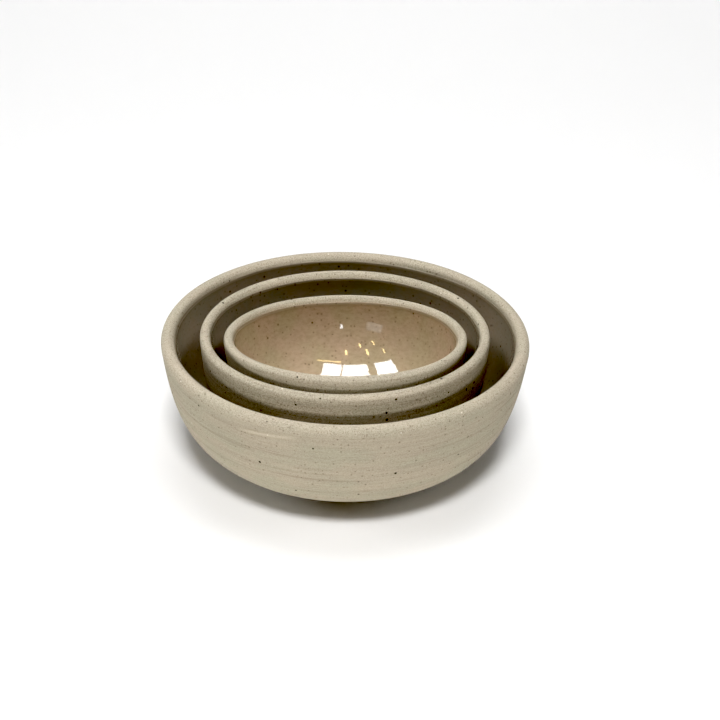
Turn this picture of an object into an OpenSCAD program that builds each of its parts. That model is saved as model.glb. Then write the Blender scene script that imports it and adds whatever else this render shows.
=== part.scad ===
// A nest of hand-thrown stoneware bowls: a wide low bowl with two smaller, steeper bowls stacked
// inside it. Each bowl is one turned clay shell with a round lip and a trimmed foot ring, and a
// glaze lining fused to its inside. The two upper bowls only rest in the one below, so they lean.

/* [Outer bowl] */
// Width over the lip
outer_width = 140; // [130:1:150]
// Height from the foot to the top of the lip
outer_height = 54; // [50:1:58]
// Thickness of the lip
outer_lip = 5.1; // [4:0.1:6]
// Width of the foot ring
outer_foot = 44; // [38:1:50]
// Thickness of the clay in the middle of the floor
outer_floor = 5.5; // [4:0.1:7]

/* [Middle bowl] */
// Width over the lip
middle_width = 109.6; // [104:0.1:112]
// Height from the foot to the top of the lip
middle_height = 49; // [45:0.5:52]
// Thickness of the lip
middle_lip = 3.8; // [3:0.1:5]
// Width of the foot ring
middle_foot = 42; // [36:1:46]
// Thickness of the clay in the middle of the floor
middle_floor = 5; // [4:0.1:6.5]

/* [Inner bowl] */
// Width over the lip
inner_width = 91.5; // [86:0.1:93]
// Height from the foot to the top of the lip
inner_height = 41; // [38:0.5:44]
// Thickness of the lip
inner_lip = 3.6; // [3:0.1:4.5]
// Width of the foot ring
inner_foot = 34; // [30:1:38]
// Thickness of the clay in the middle of the floor
inner_floor = 4.4; // [3.5:0.1:6]

/* [Foot and glaze] */
// Width of the flat ring that each bowl stands on
foot_land = 5; // [3:0.5:6]
// How far the clay inside the foot ring is cut back
foot_recess = 0.8; // [0.4:0.1:1.2]
// Thickness of the glaze lining
glaze_thickness = 0.3; // [0.2:0.05:0.4]

/* [Stacking] */
// Where the middle bowl's foot centre rests in the outer bowl
middle_place = [0.2, -5.7, 7.95]; // [-20:0.05:20]
// How far the middle bowl leans back and to the side, in degrees
middle_lean = [2.75, 0.55]; // [0:0.05:5]
// Where the inner bowl's foot centre rests in the middle bowl
inner_place = [0.7, -12.6, 15.95]; // [-20:0.05:20]
// How far the inner bowl leans back and to the side, in degrees
inner_lean = [8.7, 0.9]; // [0:0.05:10]

/* [Hidden] */

clay_colour = [0.71, 0.66, 0.58];
glaze_colour = [0.64, 0.55, 0.45];
curve_steps = 24;
lip_steps = 12;
foot_bevel = 1;

// A bowl is a list, and these names pick out its entries: the sizes above, then the angle at which
// the wall opens at the lip, the angle at which it leaves the foot, and how far the lower and upper
// ends of its outside and inside curves pull, as shares of the bowl's width and height
WIDTH = 0;
HEIGHT = 1;
LIP = 2;
FOOT = 3;
FLOOR = 4;
FLARE = 5;
LIFT = 6;
BELLY_OUT = 7;
WALL_OUT = 8;
BELLY_IN = 9;
WALL_IN = 10;

outer = [outer_width, outer_height, outer_lip, outer_foot, outer_floor,
         6.9, 17, 0.252, 0.745, 0.33, 0.48];
middle = [middle_width, middle_height, middle_lip, middle_foot, middle_floor,
          3, 17, 0.275, 0.5, 0.33, 0.43];
inner = [inner_width, inner_height, inner_lip, inner_foot, inner_floor,
         5, 23, 0.24, 0.5, 0.33, 0.4];

function polar(radius, angle) = radius * [cos(angle), sin(angle)];

// A point on the smooth curve from c[0] to c[3], pulled towards c[1] and c[2], at t from 0 to 1
function curve_at(c, t) =
    pow(1 - t, 3) * c[0] + 3 * pow(1 - t, 2) * t * c[1] + 3 * (1 - t) * t * t * c[2] + pow(t, 3) * c[3];

// The curve's unit normal on its left side
function curve_normal(c, t) =
    let (slope = pow(1 - t, 2) * (c[1] - c[0]) + 2 * (1 - t) * t * (c[2] - c[1]) + t * t * (c[3] - c[2]))
    [-slope.y, slope.x] / norm(slope);

// The curve as points, set off to its left by a distance
function curve_points(c, set_off = 0) =
    [for (i = [0 : curve_steps])
        let (t = i / curve_steps)
        curve_at(c, t) + set_off * curve_normal(c, t)];

function reversed(points) = [for (i = [len(points) - 1 : -1 : 0]) points[i]];

function lip_centre(bowl) = [bowl[WIDTH] / 2 - bowl[LIP] / 2, bowl[HEIGHT] - bowl[LIP] / 2];

// The lip's points between the outside and the inside, both ends left out
function lip_points(bowl) =
    [for (i = [1 : lip_steps - 1])
        lip_centre(bowl) + polar(bowl[LIP] / 2, 180 * i / lip_steps - bowl[FLARE])];

// The underside: a shallow recess inside a flat ring with bevelled edges
function foot_points(bowl) =
    let (edge = bowl[FOOT] / 2)
    [[0, foot_recess],
     [edge - foot_land - 2 * foot_bevel, foot_recess],
     [edge - foot_land - foot_bevel, 0],
     [edge - foot_bevel, 0]];

// The outside of the wall, from the foot ring's top edge up to the lip
function outside_curve(bowl) =
    let (start = [bowl[FOOT] / 2, foot_recess],
         end = lip_centre(bowl) + polar(bowl[LIP] / 2, -bowl[FLARE]))
    [start,
     start + polar(bowl[BELLY_OUT] * bowl[WIDTH], bowl[LIFT]),
     end - polar(bowl[WALL_OUT] * bowl[HEIGHT], 90 - bowl[FLARE]),
     end];

// The inside of the clay, from the middle of the floor up to the lip
function inside_curve(bowl) =
    let (start = [0, bowl[FLOOR]],
         end = lip_centre(bowl) + polar(bowl[LIP] / 2, 180 - bowl[FLARE]))
    [start,
     start + [bowl[BELLY_IN] * bowl[WIDTH], 0],
     end - polar(bowl[WALL_IN] * bowl[HEIGHT], 90 - bowl[FLARE]),
     end];

module clay_shell(bowl) {
    color(clay_colour)
        rotate_extrude($fn = 160)
            polygon(concat(foot_points(bowl),
                           curve_points(outside_curve(bowl)),
                           lip_points(bowl),
                           reversed(curve_points(inside_curve(bowl)))));
}

module glaze_lining(bowl) {
    color(glaze_colour)
        rotate_extrude($fn = 160)
            polygon(concat(curve_points(inside_curve(bowl)),
                           reversed(curve_points(inside_curve(bowl), glaze_thickness))));
}

// Stands a bowl on its foot centre and leans it, so that its front edge rises
module stacked(place, lean) {
    translate(place)
        rotate([-lean.x, 0, 0])
            rotate([0, -lean.y, 0])
                children();
}

module outer_bowl() {
    clay_shell(outer);
}

module outer_glaze() {
    glaze_lining(outer);
}

module middle_bowl() {
    stacked(middle_place, middle_lean) clay_shell(middle);
}

module middle_glaze() {
    stacked(middle_place, middle_lean) glaze_lining(middle);
}

module inner_bowl() {
    stacked(inner_place, inner_lean) clay_shell(inner);
}

module inner_glaze() {
    stacked(inner_place, inner_lean) glaze_lining(inner);
}

outer_bowl();
outer_glaze();
middle_bowl();
middle_glaze();
inner_bowl();
inner_glaze();
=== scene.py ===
import math

import bmesh
import bpy
import numpy as np
from mathutils import Matrix, Vector


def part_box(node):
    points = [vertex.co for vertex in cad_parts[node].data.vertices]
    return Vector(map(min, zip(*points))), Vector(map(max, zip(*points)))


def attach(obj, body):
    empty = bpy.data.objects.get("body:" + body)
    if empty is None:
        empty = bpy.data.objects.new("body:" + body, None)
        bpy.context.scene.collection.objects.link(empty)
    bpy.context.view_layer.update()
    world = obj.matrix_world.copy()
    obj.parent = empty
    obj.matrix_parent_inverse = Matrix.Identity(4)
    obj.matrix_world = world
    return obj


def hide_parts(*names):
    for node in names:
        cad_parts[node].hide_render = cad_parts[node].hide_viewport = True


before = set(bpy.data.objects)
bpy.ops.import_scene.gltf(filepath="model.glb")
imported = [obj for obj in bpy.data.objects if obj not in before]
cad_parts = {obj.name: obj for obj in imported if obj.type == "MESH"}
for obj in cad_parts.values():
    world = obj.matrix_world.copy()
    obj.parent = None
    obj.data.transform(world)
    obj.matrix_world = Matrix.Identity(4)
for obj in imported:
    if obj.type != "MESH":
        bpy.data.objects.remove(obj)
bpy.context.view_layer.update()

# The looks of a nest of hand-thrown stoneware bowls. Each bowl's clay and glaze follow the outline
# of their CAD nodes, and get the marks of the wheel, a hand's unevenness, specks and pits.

MM = 0.001
# An outline that turns by more than this at a point has a corner there
CORNER = math.radians(20)

# The bowls from the widest to the smallest: the segments round them, and a seed for their marks
BOWLS = {
    "outer": {"segments": 320, "seed": 3},
    "middle": {"segments": 288, "seed": 11},
    "inner": {"segments": 256, "seed": 7},
}
# Each bowl's clay: the share of places for an open pit that have one, and how strong its sandy
# grain and its streaks are, about 1
CLAYS = {
    "outer": {"pitted": 0.12, "sandy": 0.5, "streaky": 0.55},
    "middle": {"pitted": 0.6, "sandy": 1.0, "streaky": 1.2},
    "inner": {"pitted": 0.2, "sandy": 0.9, "streaky": 0.6},
}

# Heights of the wheel's marks and of the hand's unevenness, all cut into the CAD surface
THROWING_DEPTH = 0.07 * MM
WOBBLE_DEPTH = 0.35 * MM
LIP_WAVE_DEPTH = 0.30 * MM
# The shortest and longest ripples that throwing left on the clay, and the distance below the lip
# over which they fade in
RIPPLE_SHORTEST = 1.1 * MM
RIPPLE_LONGEST = 9 * MM
RIPPLE_FADE = 6 * MM

# How far along the outline the trimming tool's lines stay clear of the foot's centre
FOOT_WIDTH = 24 * MM

# Spacing of the mesh's rows along the outline, where it shows and where it doesn't
FINE_ROW = 0.42 * MM
HIDDEN_ROW = 2.5 * MM

# How far the glaze's underside is sunk into the clay
UNDER_GLAZE = 0.3 * MM
# How far the glaze's edge runs in and out below the lip
GLAZE_EDGE_WAVE = 0.4 * MM
# The width of the glaze's rounded edge, and the rows of mesh across it
GLAZE_BEAD = 1.6 * MM
GLAZE_BEAD_ROWS = 8
# Depth of the soft rings in the glaze, the shortest and longest of them, and the distance below
# the glaze's edge over which they fade in
GLAZE_RING_DEPTH = 0.05 * MM
GLAZE_RING_SHORTEST = 3 * MM
GLAZE_RING_LONGEST = 14 * MM
GLAZE_RING_FADE = 5 * MM
# Spacing of the glaze's rows along the outline
FINE_GLAZE_ROW = 0.6 * MM

# A shallow groove below the outside of each lip, where a finger rounded it
LIP_GROOVE_AT = 6.5 * MM
LIP_GROOVE_WIDTH = 1.0 * MM
LIP_GROOVE_DEPTH = 0.10 * MM

# Lines scored by the trimming tool: how many round each bowl, their half width and depth, how near
# they come to the lip, and how far they usually climb in a turn of one radian
SCORED_LINES = 110
SCORED_WIDTH = 0.26 * MM
SCORED_DEPTH = 0.04 * MM
SCORED_BELOW_LIP = 7 * MM
SCORED_CLIMB = 1.2 * MM
# A pale smear of slip at the front of the outer bowl: its middle's angle, its distance below the
# lip, its half length round the bowl and its half width
SMEAR_ANGLE = math.radians(-112)
SMEAR_BELOW_LIP = 7.5 * MM
SMEAR_HALF_TURN = math.radians(11)
SMEAR_WIDTH = 0.6 * MM
# How far along the outline the smear climbs in a turn of one radian
SMEAR_CLIMB = 7 * MM


# ---------------------------------------------------------------- the CAD outlines

def triangle_corners(mesh):
    """The corners of a mesh's triangles, as an array of points, and the indices of their vertices."""
    mesh.calc_loop_triangles()
    points = np.empty(len(mesh.vertices) * 3)
    mesh.vertices.foreach_get("co", points)
    points = points.reshape(-1, 3)
    triangles = np.empty(len(mesh.loop_triangles) * 3, dtype=int)
    mesh.loop_triangles.foreach_get("vertices", triangles)
    triangles = triangles.reshape(-1, 3)
    return points, triangles


def turning_axis(points, triangles):
    """A turned surface's centre of area and the direction of its axis, upwards."""
    corners = points[triangles]
    sides = corners[:, 1:] - corners[:, :1]
    area = np.linalg.norm(np.cross(sides[:, 0], sides[:, 1]), axis=1)
    middles = corners.mean(axis=1)
    centre = np.average(middles, axis=0, weights=area)
    spread = np.cov((middles - centre).T, aweights=area)
    axis = np.linalg.eigh(spread)[1][:, 0]
    return centre, axis * math.copysign(1, axis[2])


def bowl_frame(clay_mesh):
    """The matrix from a bowl's own frame, with the foot's centre at the origin, to the row's frame."""
    points, triangles = triangle_corners(clay_mesh)
    centre, axis = turning_axis(points, triangles)
    foot = ((points - centre) @ axis).min()
    side = np.cross((0, 1, 0), axis)
    side /= np.linalg.norm(side)
    matrix = np.eye(4)
    matrix[:3, 0] = side
    matrix[:3, 1] = np.cross(axis, side)
    matrix[:3, 2] = axis
    matrix[:3, 3] = centre + foot * axis
    return matrix


def outline(mesh, matrix, merge=0.1 * MM):
    """A turned mesh's outline in its bowl's frame, as (radius, height) from its lower end on the
    axis round to its upper one. Each ring of vertices is one point, and edges join the rings."""
    points, triangles = triangle_corners(mesh)
    local = (points - matrix[:3, 3]) @ matrix[:3, :3]
    section = np.stack([np.hypot(local[:, 0], local[:, 1]), local[:, 2]], axis=1)
    rings = []
    cells, cell_of = np.unique(np.round(section / merge), axis=0, return_inverse=True)
    ring_of_cell = []
    for cell in cells * merge:
        near = [i for i, ring in enumerate(rings) if np.linalg.norm(ring - cell) < 1.5 * merge]
        if near:
            ring_of_cell.append(near[0])
        else:
            ring_of_cell.append(len(rings))
            rings.append(cell)
    labels = np.array(ring_of_cell)[cell_of.ravel()]
    rings = np.array([section[labels == i].mean(axis=0) for i in range(len(rings))])
    neighbours = {i: set() for i in range(len(rings))}
    for a, b in ((0, 1), (1, 2), (2, 0)):
        for one, other in set(zip(labels[triangles[:, a]], labels[triangles[:, b]])):
            if one != other:
                neighbours[one].add(other)
                neighbours[other].add(one)
    ends = [i for i in neighbours if len(neighbours[i]) == 1]
    start = min(ends, key=lambda i: rings[i][1])
    path = [start]
    while True:
        onward = neighbours[path[-1]] - set(path)
        if not onward:
            break
        path.append(min(onward))
    line = rings[path]
    if line[0][0] > merge:
        line = np.vstack([[0, line[0][1]], line])
    line[0][0] = line[-1][0] = 0
    return line


def curve_at(line, distances):
    """Points and their left-hand normals on a curve through a line's points, at distances along
    it. The curve is smooth but for the line's corners. The distances may be an array of any shape."""
    steps = np.linalg.norm(np.diff(line, axis=0), axis=1)
    stations = np.concatenate([[0], np.cumsum(steps)])
    slopes = np.diff(line, axis=0) / steps[:, None]
    before, after = steps[:-1, None], steps[1:, None]
    smooth = (slopes[:-1] * after + slopes[1:] * before) / (before + after)
    corner = ((slopes[:-1] * slopes[1:]).sum(axis=1) < math.cos(CORNER))[:, None]
    leaving = np.vstack([slopes[:1], np.where(corner, slopes[1:], smooth)])
    arriving = np.vstack([np.where(corner, slopes[:-1], smooth), slopes[-1:]])
    i = np.clip(np.searchsorted(stations, distances, side="right") - 1, 0, len(steps) - 1)
    step = steps[i][..., None]
    t = np.clip((distances - stations[i])[..., None] / step, 0, 1)
    a, rise = line[i], line[i + 1] - line[i]
    u, v = leaving[i] * step, arriving[i] * step
    point = a + t * u + t * t * (3 * rise - 2 * u - v) + t**3 * (u + v - 2 * rise)
    slope = u + 2 * t * (3 * rise - 2 * u - v) + 3 * t * t * (u + v - 2 * rise)
    slope /= np.linalg.norm(slope, axis=-1, keepdims=True)
    return point, np.stack([-slope[..., 1], slope[..., 0]], axis=-1)


def length_of(line):
    return np.linalg.norm(np.diff(line, axis=0), axis=1).sum()


def rows_between(start, end, spacing):
    """Distances from start to just before end, about one spacing apart."""
    count = max(1, round(abs(end - start) / spacing))
    return np.linspace(start, end, count, endpoint=False)


# ---------------------------------------------------------------- the marks of hand and wheel

def soft_step(x):
    """0 below 0, 1 above 1, and a smooth rise between."""
    x = np.clip(x, 0, 1)
    return x * x * (3 - 2 * x)


def round_wave(rng, angle, turns):
    """A random wave round the bowl, from 0 to 1, made of a few whole-turn waves."""
    wave = sum(np.cos(n * angle + rng.uniform(0, math.tau)) / n for n in turns)
    span = sum(1 / n for n in turns)
    return (wave / span + 1) / 2


def wheel_marks(rng, angle, along, shortest, longest, count=9):
    """Rings left by fingers and tools, from 0 to 1: ripples along the outline that drift and fade
    round the bowl."""
    marks = np.zeros(np.broadcast(angle, along).shape)
    weight = 0
    for wavelength in np.geomspace(longest, shortest, count):
        drift = rng.uniform(0.3, 1.2) * np.cos(angle + rng.uniform(0, math.tau))
        fade = 0.55 + 0.45 * np.cos(rng.integers(1, 4) * angle + rng.uniform(0, math.tau))
        size = math.sqrt(wavelength)
        phase = math.tau * along / wavelength + rng.uniform(0, math.tau) + drift
        marks += size * fade * np.sin(phase)
        weight += size
    return (marks / weight + 1) / 2


def arc(angle, along, middle, half_turn, at, width, slant=0.0):
    """A short line round the bowl, 1 along its middle and 0 away from it. slant is how far along
    the outline it climbs in a turn of one radian."""
    turn = (angle - middle + math.pi) % math.tau - math.pi
    length = soft_step((half_turn - np.abs(turn)) / (0.6 * half_turn))
    return length * np.exp(-(((along - at - slant * turn) / width) ** 2))


def scored_lines(rng, angle, from_lip, deepest):
    """Short lines left by the trimming tool on the outside of a bowl, from 0 to 1."""
    lines = np.zeros(np.broadcast(angle, from_lip).shape)
    for _ in range(SCORED_LINES):
        line = arc(angle, from_lip, rng.uniform(0, math.tau), rng.uniform(0.1, 0.45),
                   -rng.uniform(SCORED_BELOW_LIP, deepest), SCORED_WIDTH * rng.uniform(0.7, 1.6),
                   rng.normal(0, SCORED_CLIMB))
        lines = np.maximum(lines, rng.uniform(0.3, 1) * line)
    return lines


class Turning:
    """One bowl's frame, CAD outlines and unevenness, which its clay and its glaze share."""

    def __init__(self, name, segments, seed):
        self.name = name
        self.seed = seed
        clay_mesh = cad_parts[name + "_bowl"].data
        glaze_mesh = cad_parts[name + "_glaze"].data
        self.matrix = bowl_frame(clay_mesh)
        self.clay_line = outline(clay_mesh, self.matrix)
        glaze_line = outline(glaze_mesh, self.matrix)
        edge = int(glaze_line[:, 0].argmax())
        self.inside_line = glaze_line[:edge + 1]
        self.glaze_thickness = np.linalg.norm(glaze_line[edge + 1] - glaze_line[edge])
        self.height = self.clay_line[:, 1].max()
        self.angle = np.arange(segments) * math.tau / segments
        rng = np.random.default_rng(seed)
        self.out_of_round = round_wave(rng, self.angle, (2, 3, 5))
        self.lip_wave = round_wave(rng, self.angle, (2, 3, 7))
        self.glaze_wave = round_wave(rng, self.angle, (3, 5, 8, 13, 21))

    def uneven(self, section):
        """A section with the bowl's unevenness, which grows from the foot up to the lip."""
        share = soft_step(section[..., 1] / self.height)
        bent = section.copy()
        bent[..., 0] -= WOBBLE_DEPTH * share * self.out_of_round * (section[..., 0] > 0)
        bent[..., 1] -= LIP_WAVE_DEPTH * share**2 * self.lip_wave
        return bent

    def mesh(self, name, section, plain, **marks):
        """A closed mesh turned round the axis from section, an array of (radius, height) by row and
        segment whose first and last rows are on the axis. plain is the same without marks, and
        marks are values by row and segment for the materials to read."""
        rows, segments = section.shape[:2]
        cosine, sine = np.cos(self.angle), np.sin(self.angle)

        def turned(part):
            points = np.stack([part[..., 0] * cosine, part[..., 0] * sine, part[..., 1]], axis=-1)
            inner = points[1:-1].reshape(-1, 3)
            return np.vstack([points[0, :1], inner, points[-1, :1]])

        index = 1 + np.arange((rows - 2) * segments).reshape(rows - 2, segments)
        onward = np.roll(index, -1, axis=1)
        quads = np.stack([index[:-1], onward[:-1], onward[1:], index[1:]], axis=-1).reshape(-1, 4)
        last = 1 + (rows - 2) * segments
        first_fan = [(0, b, a) for a, b in zip(index[0].tolist(), onward[0].tolist())]
        last_fan = [(last, a, b) for a, b in zip(index[-1].tolist(), onward[-1].tolist())]
        local = turned(section)
        placed = local @ self.matrix[:3, :3].T + self.matrix[:3, 3]
        mesh = bpy.data.meshes.new(name)
        mesh.from_pydata(placed.tolist(), [], quads.tolist() + first_fan + last_fan)
        mesh.polygons.foreach_set("use_smooth", [True] * len(mesh.polygons))
        texture = turned(plain) / MM + (0, 0, 97 * self.seed)
        add_attribute(mesh, "turned", "FLOAT_VECTOR", "vector", texture)
        for mark, values in marks.items():
            spread = np.broadcast_to(values, (rows, segments))
            spread = np.concatenate([spread[0, :1], spread[1:-1].ravel(), spread[-1, :1]])
            add_attribute(mesh, mark, "FLOAT", "value", spread)
        piece = bpy.data.objects.new(name, mesh)
        bpy.context.scene.collection.objects.link(piece)
        return piece

    def clay(self):
        """The clay: its CAD outline with the wheel's marks outside, under the foot and at the lip."""
        rng = np.random.default_rng(self.seed + 100)
        line = self.clay_line
        whole = length_of(line)
        lip_at = length_of(line[:int(line[:, 1].argmax()) + 1])
        glaze_at = whole - length_of(self.inside_line)
        hidden_from = glaze_at + 4 * GLAZE_EDGE_WAVE
        along = np.concatenate([
            rows_between(0, hidden_from, FINE_ROW),
            rows_between(hidden_from, whole, HIDDEN_ROW),
            [whole]])[:, None]
        point, normal = curve_at(line, along)
        angle = self.angle[None, :]
        plain = np.broadcast_to(point, (len(along), angle.size, 2))
        from_lip = along - lip_at
        outside = soft_step(-from_lip / RIPPLE_FADE) * soft_step((hidden_from - along) / MM)
        ripples = wheel_marks(rng, angle, along, RIPPLE_SHORTEST, RIPPLE_LONGEST)
        depth = THROWING_DEPTH * outside * ripples
        groove = np.exp(-(((from_lip + LIP_GROOVE_AT) / LIP_GROOVE_WIDTH) ** 2))
        depth = depth + LIP_GROOVE_DEPTH * groove * round_wave(rng, angle, (1, 2, 3))
        scored = outside * scored_lines(rng, angle, from_lip, lip_at - FOOT_WIDTH)
        smeared = np.zeros_like(scored)
        if self.name == "outer":
            smeared = arc(angle, from_lip, SMEAR_ANGLE, SMEAR_HALF_TURN, -SMEAR_BELOW_LIP, SMEAR_WIDTH,
                          SMEAR_CLIMB)
        depth = depth + SCORED_DEPTH * scored
        section = self.uneven(plain + depth[..., None] * normal)
        section[0, :, 0] = section[-1, :, 0] = 0
        return self.mesh(self.name + "_clay", section, plain, from_lip=from_lip / MM,
                         scored=scored, smeared=smeared)

    def glaze(self):
        """The glaze: a skin on the clay's inside, with a rounded edge that wanders below the lip and
        soft rings from the fingers."""
        rng = np.random.default_rng(self.seed + 200)
        line = self.inside_line
        whole = length_of(line)
        angle = self.angle[None, :]
        edge = whole - 2 * GLAZE_EDGE_WAVE * self.glaze_wave[None, :]
        under = np.concatenate([rows_between(0, whole, HIDDEN_ROW), [whole]])[:, None] / whole
        bead = 1 - np.linspace(0, 1, GLAZE_BEAD_ROWS + 1)[1:, None] ** 2 * GLAZE_BEAD / whole
        below_bead = rows_between(bead[-1, 0], 0, FINE_GLAZE_ROW / whole)[1:, None]
        top = np.concatenate([bead, below_bead, [[0]]])
        under_point, under_normal = curve_at(line, under * edge)
        top_along = top * edge
        top_point, top_normal = curve_at(line, top_along)
        below_edge = edge - top_along
        rise = np.sqrt(1 - (1 - np.clip(below_edge / GLAZE_BEAD, 0, 1)) ** 2)
        rings = wheel_marks(rng, angle, top_along, GLAZE_RING_SHORTEST, GLAZE_RING_LONGEST, count=6)
        rings = rings * soft_step(below_edge / GLAZE_RING_FADE)
        height = self.glaze_thickness * rise - GLAZE_RING_DEPTH * rings
        sunk = -UNDER_GLAZE * soft_step(under) + 0 * under_point[..., 0]
        plain = np.vstack([under_point, top_point])
        section = np.vstack([
            under_point + sunk[..., None] * under_normal,
            top_point + height[..., None] * top_normal])
        section = self.uneven(section)
        section[0, :, 0] = section[-1, :, 0] = 0
        from_lip = np.vstack([edge - under * edge, below_edge])
        return self.mesh(self.name + "_lining", section, plain, from_lip=from_lip / MM)


def add_attribute(mesh, name, kind, field, values):
    attribute = mesh.attributes.new(name, kind, "POINT")
    attribute.data.foreach_set(field, np.ravel(values).astype(np.float32))


# ---------------------------------------------------------------- materials

def linear(*srgb):
    """A colour from its 0 to 255 screen values."""
    shares = [c / 255 for c in srgb]
    return tuple(c / 12.92 if c <= 0.04045 else ((c + 0.055) / 1.055) ** 2.4 for c in shares) + (1,)


class Nodes:
    """Adds shader nodes to a material and joins them up."""

    def __init__(self, name):
        self.material = bpy.data.materials.new(name)
        self.material.use_nodes = True
        self.tree = self.material.node_tree
        self.shader = self.tree.nodes["Principled BSDF"]

    def feed(self, socket, value):
        """Joins a socket to another node's output, or gives it a plain value."""
        if isinstance(value, bpy.types.NodeSocket):
            self.tree.links.new(value, socket)
        else:
            socket.default_value = value

    def set(self, node, **inputs):
        for name, value in inputs.items():
            self.feed(node.inputs[name.replace("_", " ")], value)

    def new(self, kind, settings=None, **inputs):
        node = self.tree.nodes.new("ShaderNode" + kind)
        for name, value in (settings or {}).items():
            setattr(node, name, value)
        self.set(node, **inputs)
        return node

    def attribute(self, name):
        return self.new("Attribute", {"attribute_name": name})

    def math(self, operation, first, second=0.0):
        node = self.tree.nodes.new("ShaderNodeMath")
        node.operation = operation
        for socket, value in zip(node.inputs, (first, second)):
            self.feed(socket, value)
        return node.outputs[0]

    def ramp(self, value, low, high, to_low=0.0, to_high=1.0):
        """Value's range from low to high, spread smoothly over to_low to to_high."""
        node = self.new("MapRange", {"interpolation_type": "SMOOTHSTEP"}, Value=value)
        self.set(node, From_Min=low, From_Max=high, To_Min=to_low, To_Max=to_high)
        return node.outputs[0]

    def noise(self, place, stretch, detail=3.0, roughness=0.5):
        """Noise from 0 to 1. stretch is how many of its features fit in a millimetre each way."""
        scaled = self.new("VectorMath", {"operation": "MULTIPLY"})
        self.feed(scaled.inputs[0], place)
        self.feed(scaled.inputs[1], stretch)
        return self.new("TexNoise", Vector=scaled.outputs[0], Scale=1.0, Detail=detail,
                        Roughness=roughness).outputs["Fac"]

    def dots(self, place, spacing, radius, share, soft=0.35):
        """Round dots, 1 in the middle and 0 outside: spacing and radius are in millimetres, and
        share is how many of the cells have one."""
        cells = self.new("TexVoronoi", {"feature": "F1"}, Vector=place, Scale=1 / spacing,
                         Randomness=1.0)
        chance = self.new("SeparateColor", Color=cells.outputs["Color"])
        reach = self.ramp(chance.outputs["Red"], 1 - share, 1, 0.35 * radius, radius)
        has_dot = self.math("GREATER_THAN", chance.outputs["Red"], 1 - share)
        distance = self.math("MULTIPLY", cells.outputs["Distance"], spacing)
        inside = self.math("DIVIDE", self.math("SUBTRACT", reach, distance), soft * radius)
        return self.math("MULTIPLY", self.new("Clamp", Value=inside).outputs[0], has_dot)

    def mix(self, share, first, second):
        node = self.tree.nodes.new("ShaderNodeMix")
        node.data_type = "RGBA"
        for number, value in ((0, share), (6, first), (7, second)):
            self.feed(node.inputs[number], value)
        return node.outputs[2]

    def tint(self, colour, mark, strength, towards):
        """The colour, moved towards another by a share of strength where mark is 1."""
        return self.mix(self.math("MULTIPLY", mark, strength), colour, towards)

    def bump(self, height, distance, strength):
        return self.new("Bump", Height=height, Distance=distance, Strength=strength).outputs[0]


def clay_material(name, pitted, sandy, streaky):
    """Matte stoneware: mottled buff, with streaks round the bowl, iron specks, open pits and pale
    grog. pitted is the share of places for a pit that have one, and sandy and streaky are the
    strengths of the grain and the streaks."""
    nodes = Nodes(name)
    place = nodes.attribute("turned").outputs["Vector"]
    from_lip = nodes.attribute("from_lip").outputs["Fac"]
    scored = nodes.attribute("scored").outputs["Fac"]
    smeared = nodes.attribute("smeared").outputs["Fac"]
    mottle = nodes.noise(place, (0.05, 0.05, 0.12), 4)
    streaks = nodes.noise(place, (0.014, 0.014, 0.7), 5, 0.6)
    scratches = nodes.noise(place, (0.06, 0.06, 2.4), 3, 0.55)
    sand = nodes.noise(place, (1.5, 1.5, 2.0), 3, 0.75)
    grains = nodes.noise(place, (2.6, 2.6, 2.6), 2, 0.5)
    small = nodes.dots(place, 1.25, 0.48, 0.38, soft=0.6)
    large = nodes.dots(place, 3.2, 0.6, pitted)
    grog = nodes.dots(place, 4.2, 0.42, 0.3)
    near_lip = nodes.ramp(nodes.math("ABSOLUTE", from_lip), 3, 7, 1, 0)
    grit = nodes.math("MAXIMUM", near_lip, sandy)
    colour = nodes.mix(nodes.ramp(mottle, 0.38, 0.62), CLAY_COOL, CLAY_WARM)
    colour = nodes.mix(nodes.ramp(streaks, 0.35, 0.7, 0, 0.8 * streaky), colour, CLAY_STREAK)
    colour = nodes.mix(nodes.ramp(scratches, 0.5, 0.7, 0, 0.5 * streaky), colour, CLAY_SCRATCH)
    colour = nodes.tint(colour, nodes.ramp(sand, 0.4, 0.64, 0, 0.75), grit, CLAY_SAND)
    colour = nodes.tint(colour, near_lip, 0.2, CLAY_SAND)
    colour = nodes.tint(colour, nodes.ramp(grains, 0.52, 0.7, 0, 0.6), grit, CLAY_SCRATCH)
    colour = nodes.tint(colour, scored, 0.35, CLAY_SCRATCH)
    colour = nodes.tint(colour, smeared, 0.45, CLAY_SMEAR)
    colour = nodes.tint(colour, small, 0.5, SPECK)
    colour = nodes.tint(colour, large, 0.92, PIT)
    colour = nodes.tint(colour, grog, 0.75, GROG)
    relief = nodes.math("MULTIPLY", nodes.math("MULTIPLY", sand, grit), 0.8)
    relief = nodes.math("SUBTRACT", relief, nodes.math("MULTIPLY", scratches, 0.5))
    relief = nodes.math("SUBTRACT", relief, nodes.math("MULTIPLY", large, 2.5))
    relief = nodes.math("ADD", relief, nodes.math("MULTIPLY", grog, 1.2))
    nodes.set(nodes.shader, Base_Color=colour, Roughness=nodes.ramp(sand, 0.2, 0.8, 0.8, 0.95),
              Normal=nodes.bump(relief, 0.12 * MM, 0.9))
    nodes.shader.inputs["Specular IOR Level"].default_value = 0.25
    return nodes.material


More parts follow.
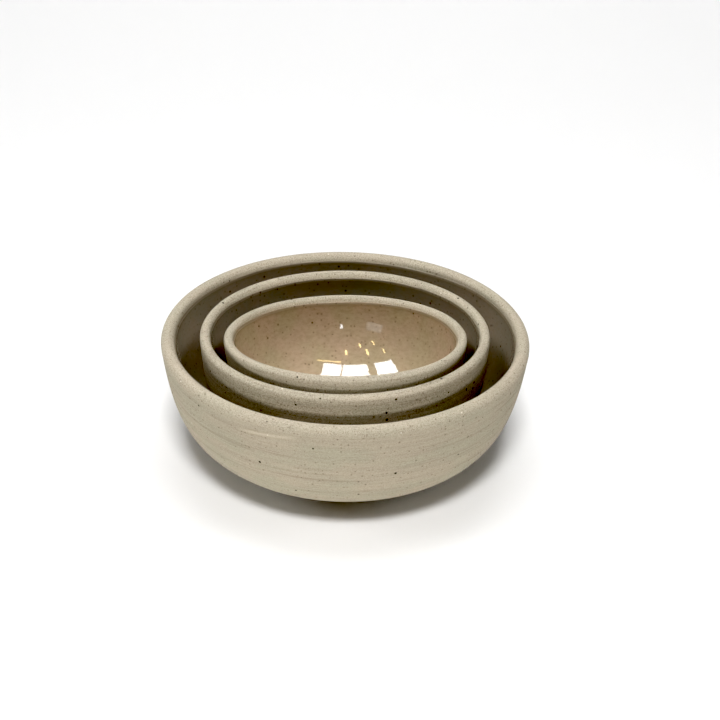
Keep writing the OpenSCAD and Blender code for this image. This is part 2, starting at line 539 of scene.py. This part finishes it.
def glaze_material(name, cool, warm):
    """Glossy glaze over the same clay: the specks show softly through it, and it thins out to a duller
    film towards its edge. Its colour darkens there too, partly as the thinner glaze and partly as
    painted shade of the steep wall just under the lip."""
    nodes = Nodes(name)
    place = nodes.attribute("turned").outputs["Vector"]
    from_lip = nodes.attribute("from_lip").outputs["Fac"]
    mottle = nodes.noise(place, (0.06, 0.06, 0.06), 4)
    cloud = nodes.noise(place, (0.5, 0.5, 0.9), 4, 0.6)
    small = nodes.dots(place, 1.5, 0.62, 0.5, soft=0.9)
    large = nodes.dots(place, 3.4, 0.75, 0.6, soft=0.7)
    thin_shaded_edge = nodes.ramp(from_lip, 0, 2.5, 1, 0)
    colour = nodes.mix(nodes.ramp(mottle, 0.35, 0.65), cool, warm)
    colour = nodes.mix(nodes.ramp(cloud, 0.35, 0.75, 0, 0.4), colour, GLAZE_CLOUD)
    # Darker towards the edge: the thinner glaze, and painted shade of the steep wall under the lip
    colour = nodes.tint(colour, thin_shaded_edge, 0.6, GLAZE_THIN_EDGE_AND_SHADE)
    colour = nodes.tint(colour, small, 0.5, SPECK)
    colour = nodes.tint(colour, large, 0.8, SPECK)
    waves = nodes.noise(place, (0.12, 0.12, 0.2), 2)
    dull = nodes.math("MULTIPLY", thin_shaded_edge, 0.35)
    roughness = nodes.math("ADD", nodes.ramp(cloud, 0.2, 0.8, 0.03, 0.07), dull)
    nodes.set(nodes.shader, Base_Color=colour, Roughness=roughness,
              Normal=nodes.bump(waves, 0.08 * MM, 0.4))
    return nodes.material


CLAY_COOL = linear(169, 163, 144)
CLAY_WARM = linear(174, 163, 145)
CLAY_STREAK = linear(152, 146, 129)
CLAY_SCRATCH = linear(112, 102, 86)
CLAY_SAND = linear(192, 182, 163)
CLAY_SMEAR = linear(214, 203, 180)
SPECK = linear(66, 50, 36)
PIT = linear(30, 22, 15)
GROG = linear(236, 230, 216)
GLAZE_CLOUD = linear(140, 126, 104)
# The glaze's colour at its edge: the thin glaze's own, with painted shade of the wall under the lip
GLAZE_THIN_EDGE_AND_SHADE = linear(130, 119, 98)
# Each bowl's glaze where it is cooler and where it is warmer. The outer and middle glazes are darker
# and greyer than the inner's as painted shade: they show only in the narrow shaded gaps between the
# bowls.
GLAZES = {
    "outer": (linear(142, 136, 123), linear(148, 138, 125)),
    "middle": (linear(138, 133, 120), linear(144, 134, 121)),
    "inner": (linear(171, 157, 132), linear(177, 157, 136)),
}


# ---------------------------------------------------------------- the pieces

clays = []
linings = []
for bowl_name, settings in BOWLS.items():
    bowl = Turning(bowl_name, **settings)
    clay = clay_material(bowl_name + "_speckled_clay", **CLAYS[bowl_name])
    glaze = glaze_material(bowl_name + "_glossy_glaze", *GLAZES[bowl_name])
    for piece, node, material, slot, group in (
            (bowl.clay(), bowl_name + "_bowl", clay, "clay", clays),
            (bowl.glaze(), bowl_name + "_glaze", glaze, "glaze", linings)):
        piece.data.materials.append(material)
        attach(piece, bowl_name)
        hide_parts(node)
        group.append(piece)


# ---------------------------------------------------------------- floor, light and camera

# The ceiling's height in metres, and half a warm lamp's width and length as shares of it
CEILING = 1.5
WARM_HALF_WIDTH = 0.022
WARM_HALF_LENGTH = 0.09
# How brightly the ceiling's panes, warm lamps and warm strip glow, and the colour of the warm ones
PANE_GLOW = 20
LAMP_GLOW = 26
STRIP_GLOW = 16
WARM = (1, 0.72, 0.3)
# The pale floor's radius and the backdrop's
FLOOR_RADIUS = 0.85
BACKDROP_RADIUS = 4
# Where the camera aims: how far right of the nest's middle, and how far below the outer lip
AIM_RIGHT = 5.7 * MM
AIM_BELOW_LIP = 12.9 * MM


def staged(name, material, make_shape, **sizes):
    """An object that isn't part of the nest, made by one of bmesh's shape operations."""
    mesh = bpy.data.meshes.new(name)
    shape = bmesh.new()
    make_shape(shape, **sizes)
    shape.to_mesh(mesh)
    shape.free()
    mesh.materials.append(material)
    thing = bpy.data.objects.new(name, mesh)
    bpy.context.scene.collection.objects.link(thing)
    return thing


def floor():
    """A pale floor round the nest."""
    nodes = Nodes("pale_floor")
    nodes.set(nodes.shader, Base_Color=(0.85, 0.85, 0.85, 1), Roughness=0.6)
    return staged("floor", nodes.material, bmesh.ops.create_circle, cap_ends=True, segments=96,
                  radius=FLOOR_RADIUS)


def backdrop():
    """A white dome all round, that only the camera sees."""
    nodes = Nodes("white_backdrop")
    nodes.set(nodes.shader, Base_Color=(0, 0, 0, 1), Emission_Color=(1, 1, 1, 1), Emission_Strength=1)
    dome = staged("backdrop", nodes.material, bmesh.ops.create_uvsphere, u_segments=48, v_segments=24,
                  radius=BACKDROP_RADIUS)
    dome.visible_diffuse = False
    dome.visible_glossy = False
    dome.visible_shadow = False


def area_light(name, place, size, watts, colour=(1, 1, 1), facing=None, mirrored=False, only=None):
    """A rectangular light that faces the nest's foot, or the point given by facing. A mirrored light
    is seen in the glaze and lights nothing else. Any other isn't seen in it, and lights the objects
    in only, or all of them."""
    lamp = bpy.data.lights.new(name, "AREA")
    lamp.shape = "RECTANGLE"
    lamp.size, lamp.size_y = size
    lamp.energy = watts
    lamp.color = colour
    holder = bpy.data.objects.new(name, lamp)
    holder.location = place
    towards = Vector(facing or (0, 0, 0)) - Vector(place)
    holder.rotation_euler = towards.to_track_quat("-Z", "Y").to_euler()
    holder.visible_glossy = mirrored
    holder.visible_diffuse = not mirrored
    bpy.context.scene.collection.objects.link(holder)
    if only:
        lit = bpy.data.collections.new(name + "_lights")
        for thing in only:
            lit.objects.link(thing)
        holder.light_linking.receiver_collection = lit


def ceiling_patch(name, left, right, front, back, glow, colour=(1, 1, 1)):
    """A flat patch of the ceiling that the glaze mirrors. Its sides are given as shares of the
    ceiling's height, and glow is how bright it is."""
    place = ((left + right) / 2 * CEILING, (front + back) / 2 * CEILING, CEILING)
    size = ((right - left) * CEILING, (back - front) * CEILING)
    below = (place[0], place[1], 0)
    area_light(name, place, size, math.pi * size[0] * size[1] * glow, colour, below, mirrored=True)


def surroundings(strength):
    """A faint, even white light from all round."""
    world = bpy.data.worlds.new("studio")
    world.use_nodes = True
    background = world.node_tree.nodes["Background"]
    background.inputs["Color"].default_value = (1, 1, 1, 1)
    background.inputs["Strength"].default_value = strength
    bpy.context.scene.world = world


def tone(black):
    """Shows colours as they are, with a little more contrast: black is the light that shows black."""
    view = bpy.context.scene.view_settings
    view.view_transform = "Standard"
    view.use_curve_mapping = True
    view.curve_mapping.black_level = (black, black, black)


def camera(aim, distance, elevation, roll, lens):
    """A camera in front of the nest, elevation degrees above level, and turned by roll degrees about
    the way it looks."""
    slope = math.radians(elevation)
    away = Vector((0, -math.cos(slope), math.sin(slope)))
    view = Matrix((Vector((1, 0, 0)), Vector((1, 0, 0)).cross(-away), away)).transposed()
    view = view @ Matrix.Rotation(math.radians(roll), 3, "Z")
    data = bpy.data.cameras.new("camera")
    data.lens = lens
    data.sensor_width = 36
    data.clip_start = 0.01
    holder = bpy.data.objects.new("camera", data)
    holder.matrix_world = Matrix.Translation(aim + distance * away) @ view.to_4x4()
    bpy.context.scene.collection.objects.link(holder)
    bpy.context.scene.camera = holder


ground = floor()
backdrop()
surroundings(0.03)

# Light for everything
area_light("skylight", place=(0, 0.05, 1.0), size=(0.5, 0.35), watts=3.6)

# Light for the clay only
area_light("clay_fill", place=(0, -0.09, 0.42), size=(0.25, 0.15), watts=0.8, only=clays)
area_light("clay_key", place=(0, -0.64, 0.77), size=(0.3, 0.15), watts=1.3, only=clays)

# Light for the glaze linings only
area_light("lining_left", place=(-0.2, 0.07, 0.46), size=(0.2, 0.1), watts=1.6, only=linings)
area_light("lining_right", place=(0.2, 0.07, 0.46), size=(0.2, 0.1), watts=1.2, only=linings)

# Light for the floor only
area_light("floor_key", place=(0, -1.13, 1.65), size=(0.4, 0.3), watts=34.0, only=[ground])
area_light("floor_left", place=(-1.7, -0.3, 1.0), size=(0.6, 0.5), watts=9.0, only=[ground])
area_light("floor_right", place=(1.7, -0.3, 1.0), size=(0.6, 0.5), watts=6.0, only=[ground])
area_light("floor_back", place=(0, 0.9, 0.9), size=(1.4, 0.4), watts=9.0, facing=(0, 1.6, 0),
           only=[ground])

# More light for the clay only, from behind and from low in front
area_light("back", place=(0, 0.71, 0.71), size=(0.6, 0.4), watts=1.9, only=clays)
area_light("back_left", place=(-0.67, 0.52, 0.53), size=(0.5, 0.4), watts=2.4, only=clays)
area_light("front_card", place=(0, -0.97, 0.22), size=(1.2, 0.12), watts=3.5, only=clays)
area_light("left_card", place=(-0.86, -0.47, 0.22), size=(0.6, 0.2), watts=2.5, only=clays)
area_light("right_card", place=(0.86, -0.47, 0.22), size=(0.6, 0.2), watts=1.5, only=clays)

# What the glaze mirrors: a skylight in three panes with a row of warm lamps in front of it, and a
# bright spot and a dim window behind the camera
for pane, (left, right) in enumerate(((-1.0, -0.5), (-0.36, 0.03), (0.05, 0.34))):
    ceiling_patch(f"pane_{pane}", left, right, front=-0.2, back=0.3, glow=PANE_GLOW)
WARM_LAMPS = ((-0.02, -0.57), (-0.32, -0.79), (-0.45, -0.55), (-0.72, -0.89), (-0.9, -0.51))
for number, (side, along) in enumerate(WARM_LAMPS):
    ceiling_patch(f"warm_lamp_{number}", side - WARM_HALF_WIDTH, side + WARM_HALF_WIDTH,
                  along - WARM_HALF_LENGTH, along + WARM_HALF_LENGTH, LAMP_GLOW, WARM)
ceiling_patch("warm_strip", left=0.06, right=0.5, front=-0.30, back=-0.25, glow=STRIP_GLOW, colour=WARM)
area_light("spot", place=(0.17, -1.76, 0.93), size=(0.08, 0.1), watts=0.5, mirrored=True)
area_light("far_window", place=(-1.0, -1.54, 0.80), size=(0.6, 0.36), watts=1.4, mirrored=True)

lip_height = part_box("outer_bowl")[1].z
camera(Vector((AIM_RIGHT, 0, lip_height - AIM_BELOW_LIP)), distance=0.6, elevation=30.04, roll=1.37,
       lens=78.2)
tone(black=0.055)
